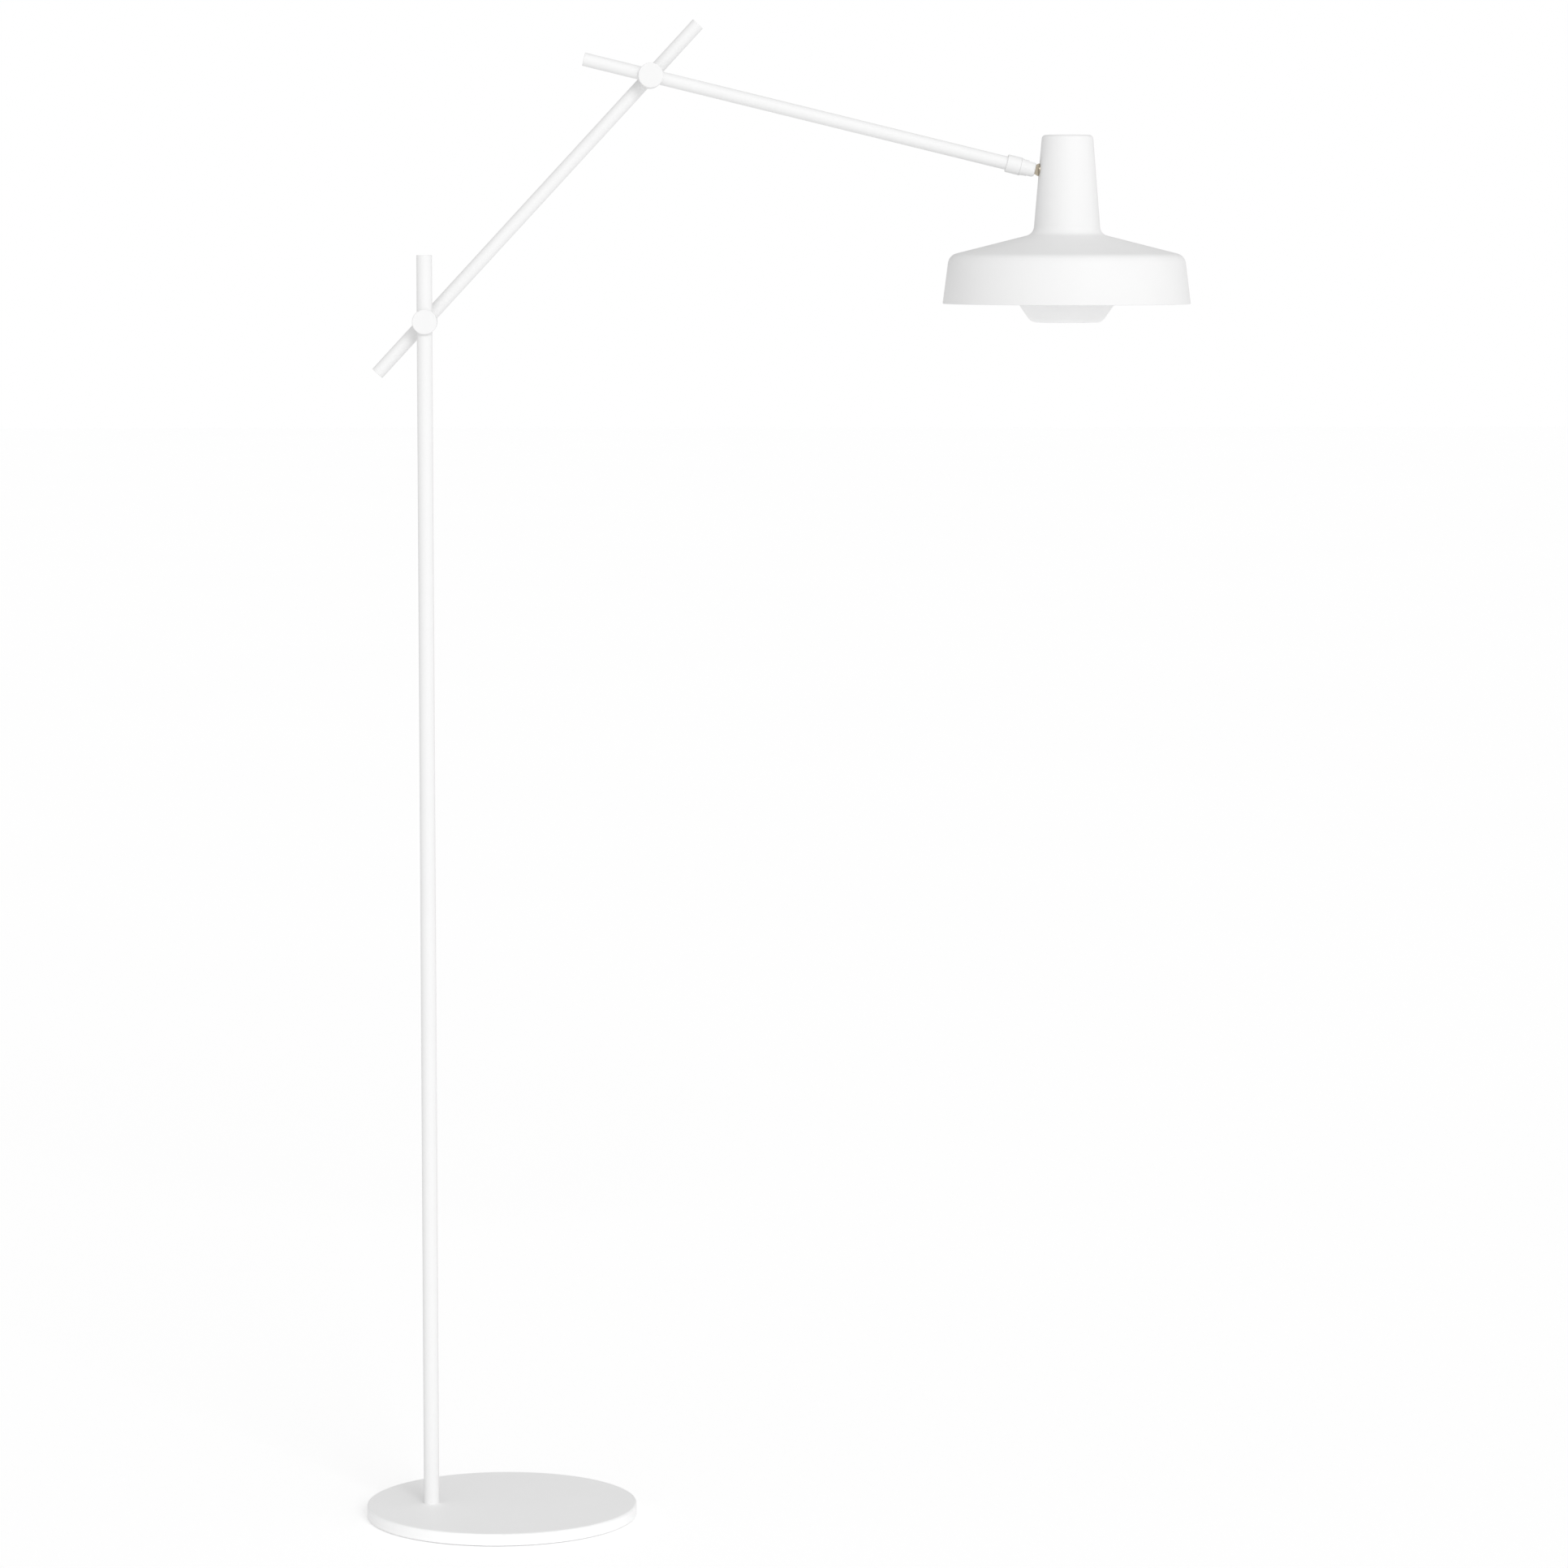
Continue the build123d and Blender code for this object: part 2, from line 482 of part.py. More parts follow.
def light_source():
    foot = Pos(*shade_foot)
    holder_edge, socket_radius, socket_depth = 2.0, 7.3, 26.0
    nipple_radius, nipple_length, nut_radius = 5.0, 7.0, 8.0
    holder = Pos(0, 0, HOLDER_BOTTOM) * rod(HOLDER_RADIUS, HOLDER_TOP - HOLDER_BOTTOM)
    holder = fillet(holder.edges().sort_by(Axis.Z)[-1], holder_edge)
    holder -= Pos(0, 0, HOLDER_BOTTOM - PAST) * rod(socket_radius, socket_depth + PAST)
    nipple = Pos(0, 0, HOLDER_TOP - PAST) * rod(nipple_radius, nipple_length + PAST)
    write(foot * (holder + nipple), "lamp_holder")
    nut = extrude(RegularPolygon(nut_radius, 6), NUT_THICKNESS) - rod(nipple_radius, NUT_THICKNESS)
    write(foot * Pos(0, 0, HOLDER_TOP + BRACKET_THICKNESS) * nut, "holder_nut")

    # Golf-ball bulb with an E14 cap: contact button, threaded shell, skirt and globe.
    cap = turned([(0, 103.0), (6.6, 103.0), (6.6, 122.0), (4.0, 126.0), (2.4, 126.0),
                  (2.4, 127.6), (0, 127.6)])
    write(foot * cap, "bulb_cap")
    globe_radius, globe_z = 22.5, 72.5
    waist = turned([(0, 103.0), (7.0, 103.0), (11.5, 92.0), (0, 80.0)])
    globe = Pos(0, 0, globe_z) * Sphere(globe_radius) + waist
    write(foot * globe, "bulb_globe")


# ---------------------------------------------------------------- diffuser
def cup_solid(inset):
    """The diffuser's outer body moved inwards by a wall: cylinder, sloping side, flat bottom."""
    slope = radians(90 - DIFFUSER_SLOPE)
    side = (DIFFUSER_SIDE[0] - inset * sin(slope), DIFFUSER_SIDE[1] + inset * cos(slope))
    radius = DIFFUSER_RADIUS - inset
    bottom = DIFFUSER_BOTTOM + inset
    upper = meet(side, slope, (radius, 0), radians(90))
    lower = meet(side, slope, (0, bottom), 0.0)
    points = [(0, bottom), lower, upper, (radius, DIFFUSER_TOP + inset)]
    radii = [DIFFUSER_BOTTOM_CORNER - inset, DIFFUSER_SIDE_CORNER - inset]
    edge = FilletPolyline(*[(r, 0, z) for r, z in points], radius=radii)
    closing = Polyline((radius, 0, points[-1][1]), (0, 0, points[-1][1]), (0, 0, bottom))
    return revolve(make_face(edge + closing), Axis.Z)


def diffuser_parts():
    foot = Pos(*shade_foot)
    cup = cup_solid(0.0)
    bead = 1.2
    cup += Pos(0, 0, DIFFUSER_TOP - BEAD_HEIGHT) * rod(DIFFUSER_RADIUS + bead, BEAD_HEIGHT)
    cup -= cup_solid(DIFFUSER_WALL)
    write(foot * cup, "diffuser")

    # Ring under the shoulder, with a wall round the diffuser and a flange that meets the shade.
    rise = tan(radians(SHOULDER_SLOPE))
    under = SHADE_WALL / cos(radians(SHOULDER_SLOPE)) + RUN

    def shoulder(r):
        return SHOULDER_POINT[1] + (SHOULDER_POINT[0] - r) * rise - under

    inner, wall, flange, flange_thickness, below_screw = 49.8, 51.3, 58.0, 1.2, 4.0
    screw_radius, head_radius, head_height, tip_gap = 1.5, 2.8, 1.8, 0.1
    low, flange_top = SCREW_Z - below_screw, shoulder(flange)
    ring = turned([(inner, low), (wall, low), (wall, flange_top - flange_thickness),
                   (flange, flange_top - flange_thickness), (flange, flange_top),
                   (inner, shoulder(inner))])
    head_at = wall - DIFFUSER_RADIUS - tip_gap
    screw = rod(screw_radius, head_at + PAST) + Pos(0, 0, head_at) * rod(head_radius, head_height)
    screws = []
    for turn in SCREW_TURNS:
        place = Rot(0, 0, turn) * Pos(DIFFUSER_RADIUS + tip_gap, 0, SCREW_Z) * Rot(0, 90, 0)
        ring -= place * rod(screw_radius, wall - inner + 2 * PAST)
        screws.append(foot * place * screw)
    write(foot * ring, "gallery_ring")
    write(Compound(children=screws), "gallery_screws")


base_parts()
pole_parts()
hinge_parts()
arm_parts()
swivel_parts()
knuckle_and_shade()
light_source()
diffuser_parts()
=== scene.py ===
import json
from math import atan2, cos, pi, radians, sin, tan

import bmesh
import bpy
from bpy.props import FloatProperty, FloatVectorProperty, IntProperty, PointerProperty
from mathutils import Matrix, Vector, noise


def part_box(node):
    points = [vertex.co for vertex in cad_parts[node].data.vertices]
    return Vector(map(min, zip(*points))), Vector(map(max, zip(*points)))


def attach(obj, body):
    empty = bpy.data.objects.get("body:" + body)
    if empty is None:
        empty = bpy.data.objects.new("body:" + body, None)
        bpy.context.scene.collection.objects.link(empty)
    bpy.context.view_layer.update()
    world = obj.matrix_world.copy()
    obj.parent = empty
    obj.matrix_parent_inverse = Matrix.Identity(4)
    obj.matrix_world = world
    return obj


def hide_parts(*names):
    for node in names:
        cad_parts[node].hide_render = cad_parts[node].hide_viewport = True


bl_info = {
    "name": "Adjustable arm floor lamp",
    "version": (1, 0, 0),
    "blender": (4, 5, 0),
    "location": "View3D > Sidebar > Floor lamp",
    "description": "Builds the finishes and fine pieces of a floor lamp with two hinged arms",
    "category": "Object",
}

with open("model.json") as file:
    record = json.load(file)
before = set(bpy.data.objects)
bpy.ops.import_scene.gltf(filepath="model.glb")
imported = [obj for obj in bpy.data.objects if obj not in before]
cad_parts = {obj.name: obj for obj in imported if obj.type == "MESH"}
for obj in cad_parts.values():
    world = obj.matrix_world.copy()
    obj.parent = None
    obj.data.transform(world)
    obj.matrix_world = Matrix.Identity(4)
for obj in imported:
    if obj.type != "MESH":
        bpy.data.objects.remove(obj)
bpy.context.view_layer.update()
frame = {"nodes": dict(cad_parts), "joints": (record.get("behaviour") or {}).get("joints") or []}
joints = {joint["name"]: joint for joint in frame["joints"]}

MM = 0.001
shade_low, shade_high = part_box("shade")
diffuser_low, diffuser_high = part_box("diffuser")
SHADE_AXIS = (shade_low.x + shade_high.x) / 2
RIM_Z = shade_low.z
TILT_PIVOT = Vector(joints["shade_tilt"]["pos_m"])

# Points on the shade's and the diffuser's sloping walls: radius and height above the rim.
SHOULDER_POINT = (0.0691, 0.0581)
NECK_POINT = (0.0286, 0.1143)
DIFFUSER_SIDE = (0.0453, -0.002)

# The studio camera's place in metres, and its turns in degrees.
CAMERA_PLACE = (0.02249, -5.24338, 1.25605)
CAMERA_HEADING, CAMERA_PITCH, CAMERA_ROLL = 2.784, 5.805, 0.038
WHITE = (1.0, 1.0, 1.0, 1.0)


# ---------------------------------------------------------------- settings
class LampShadeSizes(bpy.types.PropertyGroup):
    """Sizes of the spun shade and of the diffuser under it."""

    radius: FloatProperty(
        name="Rim radius", description="Outer radius of the shade at its rim",
        default=(shade_high.x - shade_low.x) / 2, min=0.05, unit="LENGTH", precision=5)
    height: FloatProperty(
        name="Height", description="Height of the shade from rim to top",
        default=shade_high.z - shade_low.z, min=0.05, unit="LENGTH", precision=5)
    wall: FloatProperty(
        name="Wall", description="Thickness of the spun metal",
        default=0.0012, min=0.0005, unit="LENGTH", precision=5)
    band_lean: FloatProperty(
        name="Band lean", description="How far the lower band leans in from the vertical",
        default=radians(7.2), subtype="ANGLE", unit="ROTATION")
    shoulder_slope: FloatProperty(
        name="Shoulder slope", description="Slope of the shoulder from the horizontal",
        default=radians(14.2), subtype="ANGLE", unit="ROTATION")
    neck_lean: FloatProperty(
        name="Neck lean", description="How far the neck leans in from the vertical",
        default=radians(4.73), subtype="ANGLE", unit="ROTATION")
    diffuser_radius: FloatProperty(
        name="Diffuser radius", description="Outer radius of the diffuser's straight side",
        default=0.048, min=0.02, unit="LENGTH", precision=5)
    diffuser_wall: FloatProperty(
        name="Diffuser wall", description="Thickness of the diffuser",
        default=0.002, min=0.001, unit="LENGTH", precision=5)
    diffuser_slope: FloatProperty(
        name="Diffuser slope", description="Lean of the diffuser's lower side from the vertical",
        default=radians(35.0), subtype="ANGLE", unit="ROTATION")
    turns: IntProperty(
        name="Facets", description="Facets round each turned piece",
        default=192, min=48, max=384)


class LampFinishes(bpy.types.PropertyGroup):
    """Colours and surface sizes of the finishes."""

    paint: FloatVectorProperty(
        name="Paint", description="Colour of the matt white powder coat",
        default=(0.84, 0.84, 0.84), subtype="COLOR", min=0.0, max=1.0)
    paint_grain: FloatProperty(
        name="Paint grain", description="Size of the powder coat's fine texture",
        default=0.0007, min=0.0001, unit="LENGTH", precision=5)
    # Darkened and greyed partly for brass's own dull tone, partly as a painted shade of the narrow
    # gap the brass tongue sits in.
    brass: FloatVectorProperty(
        name="Brass", description="Colour of the bare brass",
        default=(0.46, 0.405, 0.32), subtype="COLOR", min=0.0, max=1.0)
    opal: FloatVectorProperty(
        name="Opal", description="Colour of the opal diffuser",
        default=(0.975, 0.975, 0.975), subtype="COLOR", min=0.0, max=1.0)
    zinc: FloatVectorProperty(
        name="Zinc", description="Colour of the zinc plated steel",
        default=(0.62, 0.63, 0.65), subtype="COLOR", min=0.0, max=1.0)
    felt: FloatVectorProperty(
        name="Felt", description="Colour of the pad under the base",
        default=(0.16, 0.16, 0.16), subtype="COLOR", min=0.0, max=1.0)
    # This colour darkens upper faces: partly settled dust, partly a painted shade.
    dust: FloatVectorProperty(
        name="Dust", description="Colour of the dust that settles on upper faces",
        default=(0.60, 0.60, 0.595), subtype="COLOR", min=0.0, max=1.0)


class LampStudio(bpy.types.PropertyGroup):
    """Light, floor and camera of the studio."""

    key_strength: FloatProperty(
        name="Key strength", description="Strength of the key light", default=0.80, min=0.0)
    key_side: FloatProperty(
        name="Key side", description="Turn of the key light to the right of the camera",
        default=radians(20.0), subtype="ANGLE", unit="ROTATION")
    key_height: FloatProperty(
        name="Key height", description="Height of the key light above the horizontal",
        default=radians(24.0), subtype="ANGLE", unit="ROTATION")
    key_softness: FloatProperty(
        name="Key softness", description="Angle that the key light fills",
        default=radians(22.0), subtype="ANGLE", unit="ROTATION")
    fill: FloatProperty(
        name="Fill", description="Strength of the even light from all round",
        default=0.95, min=0.0)
    backdrop: FloatProperty(
        name="Backdrop", description="Brightness of the backdrop as the camera sees it",
        default=1.0, min=0.0)
    floor_glow: FloatProperty(
        name="Floor glow", description="Light that the floor gives of itself",
        default=0.13, min=0.0)
    floor_lift: FloatProperty(
        name="Floor lift", description="How much brighter the camera sees the floor",
        default=0.105, min=0.0)
    lens: FloatProperty(
        name="Lens", description="Focal length of the camera on a 36 mm sensor, in millimetres",
        default=124.35, min=10.0)


# ---------------------------------------------------------------- shapes
def meet(p, a, q, b):
    """Where the line through p at angle a meets the line through q at angle b."""
    across = cos(a) * sin(b) - sin(a) * cos(b)
    step = ((q[0] - p[0]) * sin(b) - (q[1] - p[1]) * cos(b)) / across
    return (p[0] + step * cos(a), p[1] + step * sin(a))


def rounded(corners, radii, parts=10):
    """An open line of (r, z) points whose inner corners are turned into arcs."""
    line = [corners[0]]
    for before, corner, after, radius in zip(corners, corners[1:], corners[2:], radii):
        here = Vector(corner)
        one = (Vector(before) - here).normalized()
        two = (Vector(after) - here).normalized()
        half = one.angle(two) / 2
        centre = here + (one + two).normalized() * (radius / sin(half))
        start = here + one * (radius / tan(half)) - centre
        end = here + two * (radius / tan(half)) - centre
        first = atan2(start.y, start.x)
        swing = (atan2(end.y, end.x) - first + pi) % (2 * pi) - pi
        for i in range(parts + 1):
            a = first + swing * i / parts
            line.append((centre.x + radius * cos(a), centre.y + radius * sin(a)))
    line.append(corners[-1])
    return line


def turned(bm, outline, place, facets, form=None):
    """Adds a solid of revolution about place's Z from a closed line of (r, z) points.

    form(r, z, angle) returns the r and z of a point there, for threads, flats and waves.
    """
    rings = []
    for r, z in outline:
        ring = []
        for k in range(facets if r > 1e-7 else 1):
            a = 2 * pi * k / facets
            at_r, at_z = form(r, z, a) if form else (r, z)
            ring.append(bm.verts.new(place @ Vector((at_r * cos(a), at_r * sin(a), at_z))))
        rings.append(ring)
    for low, high in zip(rings, rings[1:] + rings[:1]):
        for k in range(facets):
            after = (k + 1) % facets
            corners = [low[k % len(low)], low[after % len(low)],
                       high[after % len(high)], high[k % len(high)]]
            corners = list(dict.fromkeys(corners))
            if len(corners) > 2:
                bm.faces.new(corners)


def stepped(start, end, step):
    """Even heights from start to end, no further apart than step."""
    count = max(1, round((end - start) / step))
    return [start + (end - start) * i / count for i in range(count + 1)]


def hexagon(corner, crown, low, high):
    """A form that cuts six flats and turns the corners off at both faces."""
    flat = corner * cos(pi / 6)
    slope = tan(radians(30))

    def form(r, z, a):
        if r <= crown:
            return r, z
        reach = flat / cos(a % (pi / 3) - pi / 6)
        drop = (reach - crown) * slope
        return reach, low + drop if z < (low + high) / 2 else high - drop

    return form


def thread(radius, depth, pitch, low, high):
    """A form that rolls a round thread into the outer wall between two heights."""
    def form(r, z, a):
        if r < radius - depth or not low < z < high:
            return r, z
        fade = min(1.0, (z - low) / pitch, (high - z) / pitch)
        turn = 2 * pi * z / pitch - a
        return r - depth * fade * (0.5 - 0.5 * cos(turn)), z

    return form


def waved(depth, waves=3):
    """A form that bends a flat ring into waves of a depth either way."""
    def form(r, z, a):
        return r, z + depth * cos(waves * a)

    return form


def made(bm, name, sharp=32.0):
    """Turns a bmesh into an object with outward normals and its crisp edges kept."""
    bmesh.ops.remove_doubles(bm, verts=bm.verts, dist=1e-7)
    bmesh.ops.recalc_face_normals(bm, faces=bm.faces)
    mesh = bpy.data.meshes.new(name)
    bm.to_mesh(mesh)
    bm.free()
    smooth(mesh, sharp)
    piece = bpy.data.objects.new(name, mesh)
    bpy.context.scene.collection.objects.link(piece)
    return piece


def smooth(mesh, sharp):
    """Shades a mesh smooth, with edges sharper than an angle in degrees left crisp."""
    mesh.polygons.foreach_set("use_smooth", [True] * len(mesh.polygons))
    mesh.set_sharp_from_angle(angle=radians(sharp))


def settle(piece, body, slot, *nodes):
    """Gives a piece its finish and its body, and hides the nodes that it stands for."""
    piece.data.materials.append(finish(slot))
    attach(piece, body)
    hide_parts(*nodes)


def facing(origin, direction):
    """A placing whose Z runs along a direction."""
    turn = Vector(direction).to_track_quat("Z", "Y").to_matrix().to_4x4()
    return Matrix.Translation(origin) @ turn


def middle(node):
    """The middle of a node's box."""
    low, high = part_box(node)
    return (low + high) / 2


# ---------------------------------------------------------------- shared shader effects
class Net:
    """A small help for wiring a node tree."""

    def __init__(self, tree):
        self.tree = tree

    def add(self, kind, settings=None, **inputs):
        """Adds a node, sets its fields, and sets or links its inputs.

        An input goes by its name, with _ for each space, or by _ and its number.
        """
        node = self.tree.nodes.new(kind)
        for key, value in (settings or {}).items():
            setattr(node, key, value)
        for key, value in inputs.items():
            label = int(key[1:]) if key[0] == "_" else key.replace("_", " ")
            socket = node.inputs[label]
            if isinstance(value, bpy.types.NodeSocket):
                self.tree.links.new(value, socket)
            else:
                socket.default_value = value
        return node

    def sum(self, operation, *values):
        """A Math node's output."""
        return self.add("ShaderNodeMath", {"operation": operation},
                        **{f"_{i}": value for i, value in enumerate(values)}).outputs[0]

    def spread(self, value, low, high):
        """A 0 to 1 value moved to the range low to high."""
        return self.add("ShaderNodeMapRange", Value=value, To_Min=low, To_Max=high).outputs[0]

    def blend(self, amount, one, two):
        """One colour mixed with another."""
        mix = self.add("ShaderNodeMix", {"data_type": "RGBA"}, _0=amount, _6=one, _7=two)
        return mix.outputs[2]


def effect(name, inputs, outputs):
    """A new node group with named sockets, and its Net, input node and output node."""
    tree = bpy.data.node_groups.new(name, "ShaderNodeTree")
    for side, sockets in (("INPUT", inputs), ("OUTPUT", outputs)):
        for label, kind in sockets:
            tree.interface.new_socket(label, in_out=side, socket_type="NodeSocket" + kind)
    net = Net(tree)
    return tree, net, net.add("NodeGroupInput").outputs, net.add("NodeGroupOutput").inputs


def build_grain():
    """Fine texture of a coating or a moulding, with a broad mottle."""
    tree, net, given, out = effect(
        "Surface grain",
        [("Vector", "Vector"), ("Grain Size", "Float"), ("Mottle Size", "Float")],
        [("Height", "Float"), ("Mottle", "Float")])
    fine = net.add("ShaderNodeTexNoise", Vector=given["Vector"], Detail=3.0, Roughness=0.6,
                   Scale=net.sum("DIVIDE", 1.0, given["Grain Size"]))
    broad = net.add("ShaderNodeTexNoise", Vector=given["Vector"], Detail=4.0, Roughness=0.55,
                    Scale=net.sum("DIVIDE", 1.0, given["Mottle Size"]))
    tree.links.new(fine.outputs["Fac"], out["Height"])
    tree.links.new(broad.outputs["Fac"], out["Mottle"])


def build_dust_and_top_shade():
    """Dust that lies on upper faces, in uneven drifts, which also stands as a painted shade that
    darkens those faces.
    """
    tree, net, given, out = effect(
        "Settled dust and painted top shade",
        [("Vector", "Vector"), ("Normal", "Vector"), ("Colour", "Color"), ("Dust", "Color"),
         ("Amount", "Float"), ("Drift Size", "Float")],
        [("Colour", "Color"), ("Mask", "Float")])
    up = net.add("ShaderNodeSeparateXYZ", Vector=given["Normal"]).outputs["Z"]
    lie = net.add("ShaderNodeMapRange", {"interpolation_type": "SMOOTHSTEP"},
                  Value=up, From_Min=0.55, From_Max=1.0).outputs[0]
    drift = net.add("ShaderNodeTexNoise", Vector=given["Vector"], Detail=5.0, Roughness=0.65,
                    Scale=net.sum("DIVIDE", 1.0, given["Drift Size"])).outputs["Fac"]
    uneven = net.spread(drift, 0.55, 1.25)
    mask = net.sum("MULTIPLY", net.sum("MULTIPLY", lie, uneven), given["Amount"])
    tree.links.new(net.blend(mask, given["Colour"], given["Dust"]), out["Colour"])
    tree.links.new(mask, out["Mask"])


def build_lines():
    """Fine tool lines left by turning, rolling or brushing."""
    tree, net, given, out = effect(
        "Tool lines",
        [("Vector", "Vector"), ("Stretch", "Vector"), ("Line Size", "Float")],
        [("Height", "Float"), ("Shade", "Float")])
    drawn = net.add("ShaderNodeVectorMath", {"operation": "MULTIPLY"},
                    _0=given["Vector"], _1=given["Stretch"]).outputs[0]
    lines = net.add("ShaderNodeTexNoise", Vector=drawn, Detail=6.0, Roughness=0.7,
                    Scale=net.sum("DIVIDE", 1.0, given["Line Size"])).outputs["Fac"]
    tree.links.new(lines, out["Height"])
    tree.links.new(net.spread(lines, 0.35, 1.0), out["Shade"])


def build_edge():
    """The brighter metal where handling has rubbed a sharp edge."""
    tree, net, given, out = effect(
        "Rubbed edge",
        [("Vector", "Vector"), ("Colour", "Color"), ("Rubbed", "Color"),
         ("Amount", "Float"), ("Width", "Float")],
        [("Colour", "Color")])
    soft = net.add("ShaderNodeBevel", {"samples": 4}, Radius=given["Width"]).outputs["Normal"]
    true = net.add("ShaderNodeNewGeometry").outputs["Normal"]
    meeting = net.add("ShaderNodeVectorMath", {"operation": "DOT_PRODUCT"},
                      _0=soft, _1=true).outputs["Value"]
    edge = net.add("ShaderNodeMapRange", Value=meeting, From_Min=0.995, From_Max=0.85,
                   To_Min=0.0, To_Max=1.0).outputs[0]
    patchy = net.add("ShaderNodeTexNoise", Vector=given["Vector"], Scale=180.0,
                     Detail=3.0).outputs["Fac"]
    mask = net.sum("MULTIPLY", net.sum("MULTIPLY", edge, net.spread(patchy, 0.3, 1.3)),
                   given["Amount"])
    tree.links.new(net.blend(mask, given["Colour"], given["Rubbed"]), out["Colour"])


# ---------------------------------------------------------------- finishes
def placed(net, effect_name, **inputs):
    """A shared effect placed in a material with its own values."""
    tree = bpy.data.node_groups[effect_name]
    return net.add("ShaderNodeGroup", {"node_tree": tree}, **inputs).outputs


def material(name):
    """A new node material: its Net, its Principled BSDF and its object coordinates."""
    made_of = bpy.data.materials.new(name)
    made_of.use_nodes = True
    made_of.node_tree.nodes.clear()
    net = Net(made_of.node_tree)
    shader = net.add("ShaderNodeBsdfPrincipled")
    output = net.add("ShaderNodeOutputMaterial")
    made_of.node_tree.links.new(shader.outputs[0], output.inputs[0])
    return made_of, net, shader, net.add("ShaderNodeTexCoord").outputs


def dress(net, shader, colour, roughness, height, depth):
    """Links a colour, a roughness and a bump of a depth in metres to the shader."""
    for value, socket in ((colour, "Base Color"), (roughness, "Roughness")):
        net.tree.links.new(value, shader.inputs[socket])
    bump = net.add("ShaderNodeBump", Height=height, Distance=depth, Strength=1.0)
    net.tree.links.new(bump.outputs[0], shader.inputs["Normal"])


def tinted(colour, factor):
    """A colour made lighter or darker, as a shader value."""
    return (*(min(1.0, part * factor) for part in colour), 1.0)


def powder_coat(name, lightness, mottle, dust, depth):
    """Matt powder coat with its fine grain, a faint mottle, and upper faces darkened partly by
    settled dust and partly as a painted shade.
    """
    look = bpy.context.scene.lamp_finishes
    contrast = 0.012
    made_of, net, shader, where = material(name)
    shader.inputs["Specular IOR Level"].default_value = 0.3
    grain = placed(net, "Surface grain", Vector=where["Object"],
                   Grain_Size=look.paint_grain, Mottle_Size=mottle)
    paint = net.blend(grain["Mottle"], tinted(look.paint, lightness - contrast),
                      tinted(look.paint, lightness + contrast))
    dusted_and_shaded = placed(net, "Settled dust and painted top shade", Vector=where["Object"], Normal=where["Normal"],
                   Colour=paint, Dust=tinted(look.dust, 1.0), Amount=dust, Drift_Size=0.06)
    rough = net.sum("ADD", net.spread(grain["Mottle"], 0.5, 0.62),
                    net.sum("MULTIPLY", dusted_and_shaded["Mask"], 0.5))
    dress(net, shader, dusted_and_shaded["Colour"], rough, grain["Height"], depth)
    return made_of


def metal(name, colour, stretch, line, roughness, dark):
    """Bare or plated metal with tool lines, uneven dulling and bright rubbed edges."""
    bright, rubbed, uneven, line_depth = 1.08, 1.25, 0.08, 0.00002
    made_of, net, shader, where = material(name)
    shader.inputs["Metallic"].default_value = 1.0
    lines = placed(net, "Tool lines", Vector=where["Object"], Stretch=stretch, Line_Size=line)
    grain = placed(net, "Surface grain", Vector=where["Object"],
                   Grain_Size=0.0004, Mottle_Size=0.006)
    dull = net.blend(grain["Mottle"], tinted(colour, dark), tinted(colour, bright))
    drawn = net.blend(lines["Shade"], tinted(colour, dark), dull)
    worn = placed(net, "Rubbed edge", Vector=where["Object"], Colour=drawn,
                  Rubbed=tinted(colour, rubbed), Amount=0.6, Width=0.0004)
    rough = net.sum("ADD", net.spread(lines["Height"], roughness - uneven, roughness + uneven),
                    net.sum("MULTIPLY", grain["Mottle"], uneven))
    dress(net, shader, worn["Colour"], rough, lines["Height"], line_depth)
    return made_of


def moulding(name, colour, roughness, grain_size, depth, translucence, shine=0.5):
    """Moulded plastic, glass or rubber: fine grain, slight cloud and a soft depth."""
    look = bpy.context.scene.lamp_finishes
    uneven = 0.05
    made_of, net, shader, where = material(name)
    shader.inputs["Specular IOR Level"].default_value = shine
    if translucence:
        shader.inputs["Subsurface Weight"].default_value = translucence
        shader.inputs["Subsurface Radius"].default_value = (1.0, 1.0, 0.9)
        shader.inputs["Subsurface Scale"].default_value = 0.004
    grain = placed(net, "Surface grain", Vector=where["Object"],
                   Grain_Size=grain_size, Mottle_Size=0.02)
    cloud = net.blend(grain["Mottle"], tinted(colour, 0.97), tinted(colour, 1.02))
    dusted_and_shaded = placed(net, "Settled dust and painted top shade", Vector=where["Object"], Normal=where["Normal"],
                   Colour=cloud, Dust=tinted(look.dust, 1.0),
                   Amount=0.06, Drift_Size=0.04)
    rough = net.spread(grain["Mottle"], roughness - uneven, roughness + uneven)
    dress(net, shader, dusted_and_shaded["Colour"], rough, grain["Height"], depth)
    return made_of


def felted(name, colour):
    """Pressed felt: matted fibres, light flecks and a fuzzy sheen."""
    made_of, net, shader, where = material(name)
    shader.inputs["Sheen Weight"].default_value = 0.35
    grain = placed(net, "Surface grain", Vector=where["Object"],
                   Grain_Size=0.0005, Mottle_Size=0.008)
    fibres = net.add("ShaderNodeTexNoise", Vector=where["Object"], Scale=900.0, Detail=4.0,
                     Distortion=3.5).outputs["Fac"]
    mixed = net.blend(fibres, tinted(colour, 0.55), tinted(colour, 1.9))
    cloud = net.blend(grain["Mottle"], tinted(colour, 0.8), mixed)
    height = net.sum("ADD", fibres, net.sum("MULTIPLY", grain["Height"], 0.5))
    nap = 0.0003
    dress(net, shader, cloud, net.spread(fibres, 0.85, 1.0), height, nap)
    return made_of


